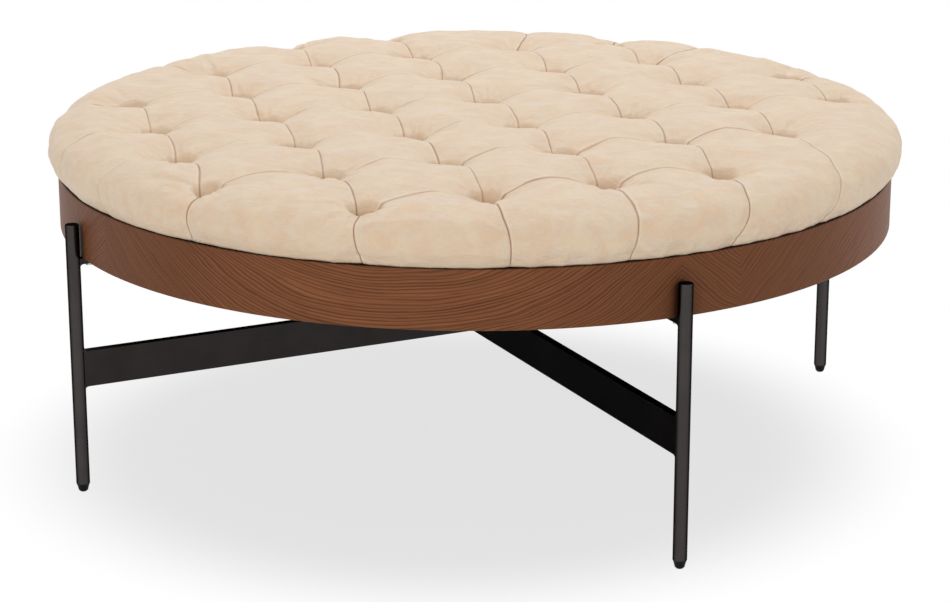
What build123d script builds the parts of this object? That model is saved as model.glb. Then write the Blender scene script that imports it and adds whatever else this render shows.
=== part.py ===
from build123d import *
from math import acos, asin, atan2, ceil, cos, degrees, hypot, pi, radians, sin, sqrt
import os

# A round ottoman coffee table: a tufted leather cushion in a wood ring, on a slim steel base.
# The origin is on the floor, on the table's axis. X points to the right leg and Y to the back leg.
# Lengths are in millimetres, angles in degrees and counted from X.

# Wood ring
ring_radius = 595
ring_wall = 22
ring_height = 80
ring_top = 416
ring_edge_radius = 2
ring_segment_count = 4
ring_joint_angle = -81.3
tenon_thickness = 8
tenon_height = 40
tenon_length = 38
mortise_end_gap = 1
glue_gap = 0.05
ring_inner = ring_radius - ring_wall
ring_low = ring_top - ring_height

# Cushion, from the wood ring up
cushion_overhang = 14
cushion_height = 89
girth_rise = 31
tuck_inset = 3
crown_drop = 14
crown_inset = 75
rim_inset = 104
rim_drop = 8
rim_curve = 200
crown_blend = 120
leather_thickness = 1.6
batting_depth = 25.2
batting_side = 4
batting_gap = 0.4
foam_depth = 36
foam_edge_radius = 15
cushion_radius = ring_radius + cushion_overhang
tuck_radius = ring_radius - tuck_inset
crown_top = ring_top + cushion_height
girth_height = ring_top + girth_rise

# Tufts and the folds between them
tuft_pitch = 164.3
tuft_row_angle = -5.2
tuft_column_angle = -97.5
first_tuft = (36.7, 44.4)
tuft_margin = 53
tuft_radius = 64
tuft_depth = 40
tuft_lift = 3
fold_half_width = 54
fold_depth = 16
fold_lift = 8
rim_fold_half_width = 36
rim_fold_depth = 12
rim_fold_lift = 6
rim_fold_start = 10
rim_fold_overrun_angle = 8
cutter_height = 30
rim_cutter_height = 20
well_radius = 26
well_depth = 8
well_lining = 5.5
tuft_reach = cushion_radius - tuft_margin

# Covered buttons and their twine
button_radius = 12.5
button_height = 8
button_edge = 2
button_seat_margin = 0.5
twine_radius = 0.6
twine_tail = 22
twine_bend = 1.2
twine_hole_radius = 3
button_seat = button_radius + button_seat_margin

# Plywood deck under the cushion, and the dust cover under the deck
deck_thickness = 18
cover_gap = 1.4
hem_width = 13.6
dust_cover_radius = 531
dust_cover_thickness = 0.5
dust_cover_drop = 1.3
deck_radius = ring_inner - cover_gap - leather_thickness
deck_low = ring_top - deck_thickness
hem_low = deck_low - leather_thickness
hem_inner = deck_radius + leather_thickness - hem_width
dust_cover_low = deck_low - dust_cover_drop - dust_cover_thickness

# Staples
staple_width = 10
staple_wire_radius = 0.5
staple_depth = 8
hem_staple_pitch = 42
hem_staple_radius = (hem_inner + deck_radius) / 2
dust_staple_count = 24
dust_staple_inset = 7
dust_staple_radius = dust_cover_radius - dust_staple_inset

# Legs
leg_diameter = 19.05
leg_wall = 1.65
leg_gap = 1.5
leg_top_drop = 35
cap_thickness = 3
cap_chamfer = 0.8
cap_spigot = 8
leg_angles = {"right": 0, "back": 90, "left": 180, "front": 270}
leg_radius = leg_diameter / 2
leg_bore = leg_radius - leg_wall
leg_axis_radius = ring_radius + leg_gap + leg_radius
leg_top = ring_top - leg_top_drop

# Levelling glides, screwed into the legs
foot_height = 8
foot_radius = 8
foot_flat_radius = 4.5
foot_belly_radius = 6.5
foot_belly_height = 2
insert_flange = 4
insert_radius = 9.5
insert_spigot = 22
stud_radius = 3.92
stud_clearance = 0.08
stud_low = 3
stud_top = 30
leg_low = foot_height + insert_flange
insert_top = leg_low + insert_spigot

# Stretchers, and the tabs that carry the ring
bar_thickness = 12.7
bar_height = 51
bar_low = 153
tab_height = 8
tab_reach = 59
leg_weld = 5
cross_weld = 3
bar_top = bar_low + bar_height
tab_low = ring_low - tab_height
tab_inner = ring_radius - tab_reach

# Blocks inside the ring, with their screws
block_width = 90
block_depth = 40
cleat_count = 4
cleat_angle = 57
screw_radius = 2.25
screw_head_radius = 4.5
screw_head_height = 3
pilot_gap = 0.05
counterbore_radius = 5.5
counterbore_depth = 30
tab_screw_length = 32
side_screw_length = 52
deck_screw_length = 42
side_screw_offset = 35
side_screw_rise = 22
deck_screw_offset = 20
block_inner = ring_inner - block_depth
block_middle = (block_inner + ring_inner) / 2
ring_middle = (ring_inner + ring_radius) / 2
pilot_radius = screw_radius + pilot_gap
leg_block_angles = list(leg_angles.values())
cleat_angles = [cleat_angle + n * 360 / cleat_count for n in range(cleat_count)]
block_angles = sorted(leg_block_angles + cleat_angles)

os.makedirs("parts", exist_ok=True)


def save(name, shape):
    shape.label = name
    export_step(shape, f"parts/{name}.step")


def save_group(name, solids):
    save(name, Compound(children=list(solids)))


def turned(shape, angle):
    return shape.moved(Rotation(0, 0, angle))


def rod(radius, low, high, x=0, y=0):
    return Solid.make_cylinder(radius, high - low, Plane((x, y, low)))


def block(x_range, y_range, z_range):
    size = [high - low for low, high in (x_range, y_range, z_range)]
    return Solid.make_box(*size, Plane((x_range[0], y_range[0], z_range[0])))


def ring(inner, outer, low, high):
    return rod(outer, low, high).cut(rod(inner, low, high))


def spun(points, angle=360):
    """Turn an outline of (radius, height) points about Z."""
    corners = [(radius, 0, height) for radius, height in points]
    return Solid.revolve(Face(Wire.make_polygon(corners)), angle, Axis.Z)


# Cushion profile. A wide crown meets three arcs, tangent to each other: rim, girth and tuck.
crown_radius = ((cushion_radius - crown_inset) ** 2 + crown_drop ** 2) / (2 * crown_drop)
rim_start = cushion_radius - rim_inset
rim_top = crown_top - rim_drop
rim_run = cushion_radius - rim_start
rim_fall = rim_top - girth_height
rim_to_girth = ((rim_curve - rim_fall) ** 2 + (rim_curve - rim_run) ** 2) / (2 * (rim_curve - rim_run))
rim_angle = degrees(acos((rim_curve - rim_fall) / rim_to_girth))
girth_curve = rim_curve - rim_to_girth
tuck_run = cushion_radius - tuck_radius
tuck_curve = (tuck_run ** 2 + girth_rise ** 2) / (2 * tuck_run)
rim_centre = (rim_start, rim_top - rim_curve)
girth_centre = (cushion_radius - girth_curve, girth_height)
tuck_centre = (cushion_radius - tuck_curve, girth_height)


def crown_height(radius):
    return crown_top - crown_radius + sqrt(crown_radius ** 2 - radius ** 2)


def arc(centre, radius, start, end):
    """An arc in the XZ plane about (radius, height), between two angles from the horizontal."""
    def at(angle):
        return (centre[0] + radius * cos(radians(angle)), 0, centre[1] + radius * sin(radians(angle)))
    return Edge.make_three_point_arc(at(start), at((start + end) / 2), at(end))


def polyline(*points):
    return [Edge.make_line(a, b) for a, b in zip(points, points[1:])]


def plain_cushion(inset, neck, low):
    """The cushion without its tufts, drawn in by inset all over, with a neck down to low."""
    above = crown_top + cutter_height
    tuck_fall = girth_rise - inset
    tuck_end = -degrees(atan2(tuck_fall, sqrt((tuck_curve - inset) ** 2 - tuck_fall ** 2)))
    edges = polyline((0, 0, above), (rim_start, 0, above), (rim_start, 0, rim_top - inset))
    edges.append(arc(rim_centre, rim_curve - inset, 90, 90 - rim_angle))
    edges.append(arc(girth_centre, girth_curve - inset, 90 - rim_angle, 0))
    edges.append(arc(tuck_centre, tuck_curve - inset, 0, tuck_end))
    tuck = edges[-1] @ 1
    edges += polyline(tuck, (neck, 0, tuck.Z), (neck, 0, low), (0, 0, low), (0, 0, above))
    puck = Solid.revolve(Face(Wire(edges)), 360, Axis.Z)
    # The crown's ball lies on its side, so that its poles are nowhere near the cushion.
    side_plane = Plane((0, 0, crown_top - crown_radius), x_dir=(0, 0, -1), z_dir=(1, 0, 0))
    body = puck & Solid.make_sphere(crown_radius - inset, side_plane, -90, 90, 360)
    shoulder = body.faces().sort_by(Axis.Z)[-1].outer_wire().edges()
    return body.fillet(crown_blend - inset, shoulder)


def tuft_places():
    reach = ceil(2 * tuft_reach / tuft_pitch)
    row, column = radians(tuft_row_angle), radians(tuft_column_angle)
    places = {}
    for i in range(-reach, reach + 1):
        for j in range(-reach, reach + 1):
            x = first_tuft[0] + tuft_pitch * (i * cos(row) + j * cos(column))
            y = first_tuft[1] + tuft_pitch * (i * sin(row) + j * sin(column))
            if hypot(x, y) < tuft_reach:
                places[i, j] = (x, y)
    return places


tufts = tuft_places()


def tuft_lines():
    """The end tufts of each row and column."""
    lines = []
    for axis in (0, 1):
        for number in sorted({key[axis] for key in tufts}):
            run = sorted(key for key in tufts if key[axis] == number)
            if len(run) > 1:
                lines.append((tufts[run[0]], tufts[run[-1]]))
    return lines


def outer_tufts():
    def inside(i, j):
        return all(key in tufts for key in ((i + 1, j), (i - 1, j), (i, j + 1), (i, j - 1)))
    return [place for key, place in tufts.items() if not inside(*key)]


def fold_section(half_width, depth, lift, top, inset, put):
    """Two swelling flanks that meet in a crease, closed above at top."""
    rise = depth + lift
    flank = (half_width ** 2 + rise ** 2) / (2 * rise)
    centre = lift - flank
    radius = flank - inset
    crease = centre + sqrt(radius ** 2 - half_width ** 2)
    middle = (atan2(crease - centre, -half_width) + pi / 2) / 2
    bulge = (half_width + radius * cos(middle), centre + radius * sin(middle))
    points = [(0, crease), bulge, (half_width, centre + radius), (half_width, top)]
    right = [put(*point) for point in points]
    left = [put(-across, height) for across, height in points]
    edges = [Edge.make_three_point_arc(*right[:3]), Edge.make_three_point_arc(*left[:3])]
    return Wire(edges + polyline(right[2], right[3], left[3], left[2]))


def long_fold(start, end, inset):
    """A straight fold under a whole row or column of tufts."""
    run = Vector(end[0] - start[0], end[1] - start[1], 0)
    across = Vector(-run.Y, run.X, 0).normalized()
    middle = hypot(start[0] + end[0], start[1] + end[1]) / 2
    ends = (crown_height(hypot(*start)) + crown_height(hypot(*end))) / 2
    origin = Vector(*start, (crown_height(middle) + ends) / 2)
    def put(side, height):
        return origin + across * side + Vector(0, 0, height)
    section = fold_section(fold_half_width, fold_depth, fold_lift, cutter_height, inset, put)
    return Solid.extrude(Face(section), run)


def rim_fold(place, inset):
    """A fold from an outer tuft, over the rim and down the side."""
    start = min(hypot(*place), rim_start - rim_fold_start)
    tuck_end = -degrees(atan2(girth_rise, sqrt(tuck_curve ** 2 - girth_rise ** 2))) - rim_fold_overrun_angle
    path = polyline((start, 0, rim_top), (rim_start, 0, rim_top))
    path.append(arc(rim_centre, rim_curve, 90, 90 - rim_angle))
    path.append(arc(girth_centre, girth_curve, 90 - rim_angle, 0))
    path.append(arc(tuck_centre, tuck_curve, 0, tuck_end))
    def put(side, height):
        return Vector(start, side, rim_top + height)
    section = fold_section(rim_fold_half_width, rim_fold_depth, rim_fold_lift, rim_cutter_height, inset, put)
    return turned(Solid.sweep(section, Wire(path)), degrees(atan2(place[1], place[0])))


def tuft_height(place):
    return crown_height(hypot(*place)) - tuft_depth


def dimple(place, inset):
    """A funnel with swelling sides, down to the flat seat under a button."""
    rise = tuft_depth + tuft_lift
    flank = ((tuft_radius - button_seat) ** 2 + rise ** 2) / (2 * rise)
    centre = tuft_lift - flank
    radius = flank - inset
    floor = -tuft_depth - inset
    start = atan2(floor - centre, -sqrt(radius ** 2 - (floor - centre) ** 2))
    side = arc((tuft_radius, centre), radius, degrees(start), 90)
    top = tuft_radius, 0, cutter_height
    edges = [side] + polyline(side @ 1, top, (0, 0, cutter_height), (0, 0, floor), side @ 0)
    funnel = Solid.revolve(Face(Wire(edges)), 360, Axis.Z)
    return funnel.moved(Location((*place, crown_height(hypot(*place)))))


def tufted_cushion(inset, neck, low):
    cutters = [dimple(place, inset) for place in tufts.values()]
    cutters += [long_fold(start, end, inset) for start, end in tuft_lines()]
    cutters += [rim_fold(place, inset) for place in outer_tufts()]
    body = plain_cushion(inset, neck, low)
    for cutter in cutters:
        body = body.cut(cutter)
    return body


def crowned_slab(radius, depth, low):
    """A disc from low up to depth below the crown, with a rounded top edge."""
    def at(distance):
        return (distance, 0, crown_height(distance) - depth)
    edges = polyline(at(0), (0, 0, low), (radius, 0, low), at(radius))
    edges.append(Edge.make_three_point_arc(at(radius), at(radius / 2), at(0)))
    slab = Solid.revolve(Face(Wire(edges)), 360, Axis.Z)
    circles = slab.edges().filter_by(GeomType.CIRCLE)
    rim = circles.filter_by_position(Axis.Z, low, crown_top, (False, False)).sort_by(SortBy.LENGTH)[-1]
    return slab.fillet(foam_edge_radius, [rim])


def foam_pad():
    """A crowned slab as wide as the deck, with a blind well under each tuft."""
    body = crowned_slab(deck_radius, foam_depth, ring_top)
    for place in tufts.values():
        body = body.cut(rod(well_radius, tuft_height(place) - well_depth, crown_top, *place))
    return body


def batting():
    """The fibre layer over the foam and its side, which also lines the wells."""
    skirt_low = ring_top + leather_thickness + batting_gap
    body = crowned_slab(deck_radius + batting_side, batting_depth, skirt_low)
    body = body.fuse(rod(deck_radius, ring_top, skirt_low)).cut(foam)
    for place in tufts.values():
        seat = tuft_height(place) - leather_thickness - batting_gap
        body = body.cut(rod(well_radius - well_lining, seat, crown_top, *place))
    return body


# Cushion
deck_space = rod(deck_radius, deck_low, ring_top)
inside = tufted_cushion(leather_thickness, deck_radius, deck_low)
leather = tufted_cushion(0, deck_radius + leather_thickness, hem_low).cut(inside)
save("leather_cover", leather.cut(rod(hem_inner, hem_low, deck_low)))
foam = foam_pad()
save("foam_pad", foam)
save("batting", batting())


def covered_button(place):
    rise = button_height - button_edge
    dome_radius = (button_radius ** 2 + rise ** 2) / (2 * rise)
    start = degrees(asin(button_radius / dome_radius))
    dome = arc((0, button_height - dome_radius), dome_radius, 90 - start, 90)
    edges = polyline((0, 0, button_height), (0, 0, 0), (button_radius, 0, 0), (button_radius, 0, button_edge))
    button = Solid.revolve(Face(Wire(edges + [dome])), 360, Axis.Z)
    return button.moved(Location((*place, tuft_height(place))))


def tie(place):
    """Twine from a button straight down through the deck, with a tail towards the middle."""
    top = Vector(*place, tuft_height(place))
    inward = Vector(-place[0], -place[1], 0).normalized()
    corner = Vector(*place, deck_low - twine_radius)
    path = FilletPolyline(top, corner, corner + inward * twine_tail, radius=twine_bend)
    section = Wire.make_circle(twine_radius, Plane(top, z_dir=(0, 0, -1)))
    return Solid.sweep(section, path.wire())


save_group("tuft_buttons", map(covered_button, tufts.values()))
save_group("button_ties", map(tie, tufts.values()))

# Wood ring


def ring_segment(start):
    """A quarter of the ring with rounded edges and a mortise in each end."""
    span = 360 / ring_segment_count
    profile = Face(Wire.make_polygon([(radius, 0, height) for radius, height in (
        (ring_inner, ring_low), (ring_radius, ring_low), (ring_radius, ring_top), (ring_inner, ring_top))]))
    rounded = profile.fillet_2d(ring_edge_radius, profile.vertices())
    body = Solid.revolve(rounded, span, Axis.Z)
    middle = (ring_low + ring_top) / 2
    half_height = tenon_height / 2 + glue_gap
    half_thickness = tenon_thickness / 2 + glue_gap
    depth = tenon_length / 2 + mortise_end_gap
    mortise = block((ring_middle - half_thickness, ring_middle + half_thickness), (-depth, depth),
                    (middle - half_height, middle + half_height))
    body = body.cut(mortise).cut(turned(mortise, span))
    body = turned(body, start)
    for angle in leg_block_angles:
        body = body.cut(turned(tab_screw_hole(ring_middle), angle))
    for angle in block_angles:
        for side in (-1, 1):
            body = body.cut(turned(side_screw_hole(side), angle))
    return body


def tenon(angle):
    middle = (ring_low + ring_top) / 2
    body = block((ring_middle - tenon_thickness / 2, ring_middle + tenon_thickness / 2),
                 (-tenon_length / 2, tenon_length / 2),
                 (middle - tenon_height / 2, middle + tenon_height / 2))
    return turned(body, angle)


# Screws. Each is a pan head on a round shank with a short point.


def screw(length, radius=screw_radius):
    point = length - radius
    return spun([(0, -screw_head_height), (screw_head_radius, -screw_head_height), (screw_head_radius, 0),
                 (radius, 0), (radius, point), (0, length)])


def tab_screw(radius):
    return screw(tab_screw_length).moved(Location((radius, 0, tab_low)))


def tab_screw_hole(radius):
    return rod(pilot_radius, tab_low, tab_low + tab_screw_length, radius)


def side_screw_place(side):
    """Where the head's flat underside meets the block's hollow face."""
    depth = sqrt(block_inner ** 2 - (side_screw_offset + screw_head_radius) ** 2)
    return Plane((depth, side * side_screw_offset, ring_low + side_screw_rise), z_dir=(1, 0, 0))


def side_screw(side):
    return screw(side_screw_length).moved(side_screw_place(side).location)


def side_screw_hole(side):
    return Solid.make_cylinder(pilot_radius, side_screw_length, side_screw_place(side))


deck_screw_low = ring_low + counterbore_depth


def deck_screw(side):
    return screw(deck_screw_length).moved(Location((block_middle, side * deck_screw_offset, deck_screw_low)))


def deck_screw_hole(side):
    high = deck_screw_low + deck_screw_length
    return rod(pilot_radius, deck_screw_low, high, block_middle, side * deck_screw_offset)


def counterbore(side):
    return rod(counterbore_radius, ring_low, deck_screw_low, block_middle, side * deck_screw_offset)


def ring_block(angle, on_leg):
    """A block against the inside of the ring, drilled for its screws."""
    body = ring(block_inner, ring_inner, ring_low, hem_low)
    body = body & block((0, ring_radius), (-block_width / 2, block_width / 2), (ring_low, hem_low))
    for side in (-1, 1):
        body = body.cut(side_screw_hole(side)).cut(deck_screw_hole(side)).cut(counterbore(side))
    if on_leg:
        body = body.cut(tab_screw_hole(block_middle))
    return turned(body, angle)


for number in range(ring_segment_count):
    angle = ring_joint_angle + number * 360 / ring_segment_count
    save(f"apron_segment_{number + 1}", ring_segment(angle))
save_group("apron_tenons", [tenon(ring_joint_angle + n * 360 / ring_segment_count) for n in range(ring_segment_count)])
for name, angle in leg_angles.items():
    save(f"leg_block_{name}", ring_block(angle, True))
for number, angle in enumerate(cleat_angles):
    save(f"rim_cleat_{number + 1}", ring_block(angle, False))
tab_screws = [tab_screw(radius) for radius in (block_middle, ring_middle)]
save_group("tab_screws", [turned(body, angle) for angle in leg_block_angles for body in tab_screws])
save_group("block_screws", [turned(side_screw(side), angle) for angle in block_angles for side in (-1, 1)])
save_group("deck_screws", [turned(deck_screw(side), angle) for angle in block_angles for side in (-1, 1)])

# Deck, dust cover and staples


def seat_deck():
    body = deck_space
    for place in tufts.values():
        body = body.cut(rod(twine_hole_radius, deck_low, ring_top, *place))
    for angle in block_angles:
        for side in (-1, 1):
            body = body.cut(turned(deck_screw_hole(side), angle))
    return body


def staple(radius, angle, low):
    """A wire staple with its crown along the rim and its legs up into the deck."""
    half = staple_width / 2
    height = low - staple_wire_radius
    legs = height + staple_depth
    points = [(radius, -half, legs), (radius, -half, height), (radius, half, height), (radius, half, legs)]
    path = FilletPolyline(*points, radius=2 * staple_wire_radius)
    section = Wire.make_circle(staple_wire_radius, Plane(points[0], z_dir=(0, 0, -1)))
    return turned(Solid.sweep(section, path.wire()), angle)


def hem_staple_angles():
    """Angles spread evenly over each gap between two blocks."""
    clear = degrees(asin((block_width / 2 + staple_width) / hem_staple_radius))
    angles = []
    for start, end in zip(block_angles, block_angles[1:] + [block_angles[0] + 360]):
        span = end - start - 2 * clear
        count = ceil(radians(span) * hem_staple_radius / hem_staple_pitch)
        angles += [start + clear + n * span / count for n in range(count + 1)]
    return angles


dust_staple_angles = [(n + 1 / 2) * 360 / dust_staple_count for n in range(dust_staple_count)]
save("seat_deck", seat_deck())
save("dust_cover", rod(dust_cover_radius, dust_cover_low, dust_cover_low + dust_cover_thickness))
save_group("hem_staples", [staple(hem_staple_radius, angle, hem_low) for angle in hem_staple_angles()])
save_group("dust_cover_staples", [staple(dust_staple_radius, a, dust_cover_low) for a in dust_staple_angles])

# Legs and glides


def leg_cap():
    spigot = leg_bore - glue_gap
    return spun([(0, -cap_spigot), (spigot, -cap_spigot), (spigot, 0), (leg_radius, 0),
                 (leg_radius, cap_thickness - cap_chamfer), (leg_radius - cap_chamfer, cap_thickness),
                 (0, cap_thickness)])


def leg_insert():
    bore = stud_radius + stud_clearance
    spigot = leg_bore - glue_gap
    return spun([(bore, foot_height), (foot_radius, foot_height), (insert_radius, leg_low), (spigot, leg_low),
                 (spigot, insert_top), (bore, insert_top)])


def glide_foot():
    socket = stud_radius
    return spun([(0, 0), (foot_flat_radius, 0), (foot_belly_radius, foot_belly_height), (foot_radius, foot_height),
                 (socket, foot_height), (socket, stud_low), (0, stud_low)])


at_leg = Location((leg_axis_radius, 0, 0))
for name, angle in leg_angles.items():
    save(f"leg_{name}", turned(ring(leg_bore, leg_radius, leg_low, leg_top).moved(at_leg), angle))
    cap_place = Location((leg_axis_radius, 0, leg_top))
    save(f"leg_cap_{name}", turned(leg_cap().moved(cap_place), angle))
    save(f"leg_insert_{name}", turned(leg_insert().moved(at_leg), angle))
    save(f"glide_foot_{name}", turned(glide_foot().moved(at_leg), angle))
    save(f"glide_stud_{name}", turned(rod(stud_radius, stud_low, stud_top).moved(at_leg), angle))

# Stretchers, tabs and welds
leg_core = rod(leg_radius, 0, ring_top).moved(at_leg)
half_bar = bar_thickness / 2


def leg_bead(low, direction):
    """A small fillet weld round a leg, on the top or bottom face of a bar."""
    corner = (leg_radius, 0, low)
    top = (leg_radius, 0, low + direction * leg_weld)
    out = (leg_radius + leg_weld, 0, low)
    inset = leg_weld * (1 - cos(pi / 4))
    middle = (leg_radius + inset, 0, low + direction * inset)
    edges = polyline(top, corner, out) + [Edge.make_three_point_arc(out, middle, top)]
    body = Solid.revolve(Face(Wire(edges)), 360, Axis.Z)
    reach = leg_radius + leg_weld
    strip = block((-reach, 0), (-half_bar, half_bar), (low - leg_weld, low + leg_weld))
    return (body & strip).moved(at_leg)


def cross_bead():
    """A fillet weld up the corner where the short stretchers meet the long one."""
    corner = (half_bar, half_bar, bar_low)
    along = (half_bar + cross_weld, half_bar, bar_low)
    across = (half_bar, half_bar + cross_weld, bar_low)
    inset = half_bar + cross_weld * (1 - cos(pi / 4))
    edges = polyline(across, corner, along) + [Edge.make_three_point_arc(along, (inset, inset, bar_low), across)]
    return Solid.extrude(Face(Wire(edges)), Vector(0, 0, bar_height))


def bar(start):
    """A flat bar from start along X to the right leg, shaped to the leg's round wall."""
    return block((start, leg_axis_radius), (-half_bar, half_bar), (bar_low, bar_top)).cut(leg_core)


def seat_tab():
    tab = block((tab_inner, leg_axis_radius), (-half_bar, half_bar), (tab_low, ring_low)).cut(leg_core)
    return tab.cut(tab_screw_hole(block_middle)).cut(tab_screw_hole(ring_middle))


long_bar = block((-leg_axis_radius, leg_axis_radius), (-half_bar, half_bar), (bar_low, bar_top))
save("stretcher_long", long_bar.cut(leg_core).cut(turned(leg_core, 180)))
save("stretcher_half_back", turned(bar(half_bar), leg_angles["back"]))
save("stretcher_half_front", turned(bar(half_bar), leg_angles["front"]))
leg_beads = [leg_bead(bar_top, 1), leg_bead(bar_low, -1), leg_bead(tab_low, -1)]
beads = [turned(bead, angle) for angle in leg_block_angles for bead in leg_beads]
beads += [turned(cross_bead(), angle) for angle in leg_block_angles]
save_group("weld_beads", beads)
for name, angle in leg_angles.items():
    save(f"seat_tab_{name}", turned(seat_tab(), angle))
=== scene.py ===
import math

import bpy
import numpy as np
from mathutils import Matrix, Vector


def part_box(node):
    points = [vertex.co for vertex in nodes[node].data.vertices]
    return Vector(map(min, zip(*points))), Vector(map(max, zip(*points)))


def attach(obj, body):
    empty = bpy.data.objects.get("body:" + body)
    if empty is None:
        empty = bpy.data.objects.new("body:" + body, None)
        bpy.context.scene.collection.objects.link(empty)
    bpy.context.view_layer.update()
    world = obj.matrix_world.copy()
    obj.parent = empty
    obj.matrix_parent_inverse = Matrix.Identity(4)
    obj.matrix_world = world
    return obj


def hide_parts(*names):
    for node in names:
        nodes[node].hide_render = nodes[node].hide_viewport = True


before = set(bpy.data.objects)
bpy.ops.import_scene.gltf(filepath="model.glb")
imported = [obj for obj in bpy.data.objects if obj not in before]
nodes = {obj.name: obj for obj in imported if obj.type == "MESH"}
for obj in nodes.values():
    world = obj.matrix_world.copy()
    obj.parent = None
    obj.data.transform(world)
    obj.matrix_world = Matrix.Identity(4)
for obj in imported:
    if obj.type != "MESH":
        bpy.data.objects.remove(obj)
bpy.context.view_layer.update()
table = "table"
legNames = ("right", "back", "left", "front")
print("frame loaded:", len(nodes), "nodes")

# places that the frame gives, in metres
coverLow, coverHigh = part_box("leather_cover")
_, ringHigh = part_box("apron_segment_1")
deckLow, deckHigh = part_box("seat_deck")
dustLow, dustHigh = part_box("dust_cover")
ringTop = ringHigh[2]
deckRadius = deckHigh[0]
rng = np.random.default_rng(11)


# node helpers

def setInputs(tree, node, inputs):
    for socket, value in inputs.items():
        if isinstance(value, bpy.types.NodeSocket):
            tree.links.new(value, node.inputs[socket])
        else:
            node.inputs[socket].default_value = value


def addNode(tree, kind, inputs=None, **settings):
    made = tree.nodes.new("ShaderNode" + kind)
    for key, value in settings.items():
        setattr(made, key, value)
    setInputs(tree, made, inputs or {})
    return made


def maths(tree, operation, first, second=0.0, third=0.0, clamp=False):
    values = {0: first, 1: second, 2: third}
    return addNode(tree, "Math", values, operation=operation, use_clamp=clamp).outputs[0]


def mixColours(tree, factor, first, second):
    # the colour sockets of a Mix node are its seventh and eighth
    return addNode(tree, "Mix", {0: factor, 6: first, 7: second}, data_type="RGBA").outputs[2]


def ramp(tree, value, low, high):
    made = addNode(tree, "MapRange", {0: value, 1: low, 2: high}, interpolation_type="SMOOTHSTEP")
    return made.outputs[0]


def noise(tree, vector, scale, detail=3.0, roughness=0.5, distortion=0.0):
    inputs = {"Vector": vector, "Scale": scale, "Detail": detail, "Roughness": roughness, "Distortion": distortion}
    return addNode(tree, "TexNoise", inputs).outputs[0]


def stretched(tree, vector, scale):
    return addNode(tree, "Mapping", {"Vector": vector, "Scale": scale}).outputs[0]


def rgb(red, green, blue):
    return (red, green, blue, 1.0)


def newGroup(name, inputs, outputs):
    tree = bpy.data.node_groups.new(name, "ShaderNodeTree")
    for label, kind in inputs:
        tree.interface.new_socket(name=label, in_out="INPUT", socket_type="NodeSocket" + kind)
    for label, kind in outputs:
        tree.interface.new_socket(name=label, in_out="OUTPUT", socket_type="NodeSocket" + kind)
    place = addNode(tree, "TexCoord").outputs["Object"]
    source, out = (tree.nodes.new("NodeGroup" + side) for side in ("Input", "Output"))
    return tree, place, source, out


def useGroup(tree, group, **inputs):
    made = tree.nodes.new("ShaderNodeGroup")
    made.node_tree = group
    setInputs(tree, made, inputs)
    return made


def newMaterial(name, **settings):
    made = bpy.data.materials.new(name)
    made.use_nodes = True
    tree = made.node_tree
    tree.nodes.clear()
    shader = addNode(tree, "BsdfPrincipled", {key.replace("_", " "): value for key, value in settings.items()})
    out = tree.nodes.new("ShaderNodeOutputMaterial")
    tree.links.new(shader.outputs[0], out.inputs[0])
    return made, tree, shader


def bump(tree, shader, height, distance, edge=0.0):
    made = addNode(tree, "Bump", {"Height": height, "Distance": distance})
    if edge:
        rounded = addNode(tree, "Bevel", {"Radius": edge}, samples=4)
        tree.links.new(rounded.outputs[0], made.inputs["Normal"])
    tree.links.new(made.outputs[0], shader.inputs["Normal"])


# shared effects, each with the ends of its ramps and the stretch of its noise

mottleForm = {
    "patchEnds": (0.36, 0.66), "patchWarp": 0.6, "streakEnds": (0.38, 0.7), "streakWarp": 0.8,
    "streakTurn": 38.0, "streakStretch": (1.0, 2.2, 2.0),
}


def makeMottleGroup():
    # cloudy patches, and finer streaks that run across them
    form = mottleForm
    tree, place, source, out = newGroup(
        "mottle", [("Scale", "Float"), ("Streak", "Float")], [("Patches", "Float"), ("Streaks", "Float")])
    patches = noise(tree, place, source.outputs["Scale"], 5.0, 0.66, form["patchWarp"])
    tree.links.new(ramp(tree, patches, *form["patchEnds"]), out.inputs["Patches"])
    rotation = (0, 0, math.radians(form["streakTurn"]))
    turnedPlace = addNode(tree, "Mapping", {"Vector": place, "Rotation": rotation}).outputs[0]
    across = stretched(tree, turnedPlace, form["streakStretch"])
    lines = noise(tree, across, source.outputs["Streak"], 5.0, 0.62, form["streakWarp"])
    tree.links.new(ramp(tree, lines, *form["streakEnds"]), out.inputs["Streaks"])
    return tree


pebbleForm = {"crease": 0.22, "fineScale": 900.0, "fineShare": 0.35}


def makePebbleGroup():
    # small cells with soft edges, and a finer tooth on them
    tree, place, source, out = newGroup("pebble", [("Scale", "Float")], [("Height", "Float")])
    cells = addNode(tree, "TexVoronoi", {"Vector": place, "Scale": source.outputs["Scale"]},
                    feature="DISTANCE_TO_EDGE").outputs["Distance"]
    creased = ramp(tree, cells, 0.0, pebbleForm["crease"])
    fine = noise(tree, place, pebbleForm["fineScale"], 2.0)
    tree.links.new(maths(tree, "MULTIPLY_ADD", fine, pebbleForm["fineShare"], creased), out.inputs["Height"])
    return tree


grainForm = {
    "wanderStretch": (1.2, 5.0, 1.0), "wanderScale": 3.0, "sway": 0.03,
    "unevenScale": 0.45, "uneven": 2.2, "ringEnds": (-1.0, 0.35),
    "fibreStretch": (1.6, 6.0, 6.0), "fibreEnds": (0.3, 0.72),
    "poreStretch": (5.0, 30.0, 30.0), "poreEnds": (0.58, 0.72),
}


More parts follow.
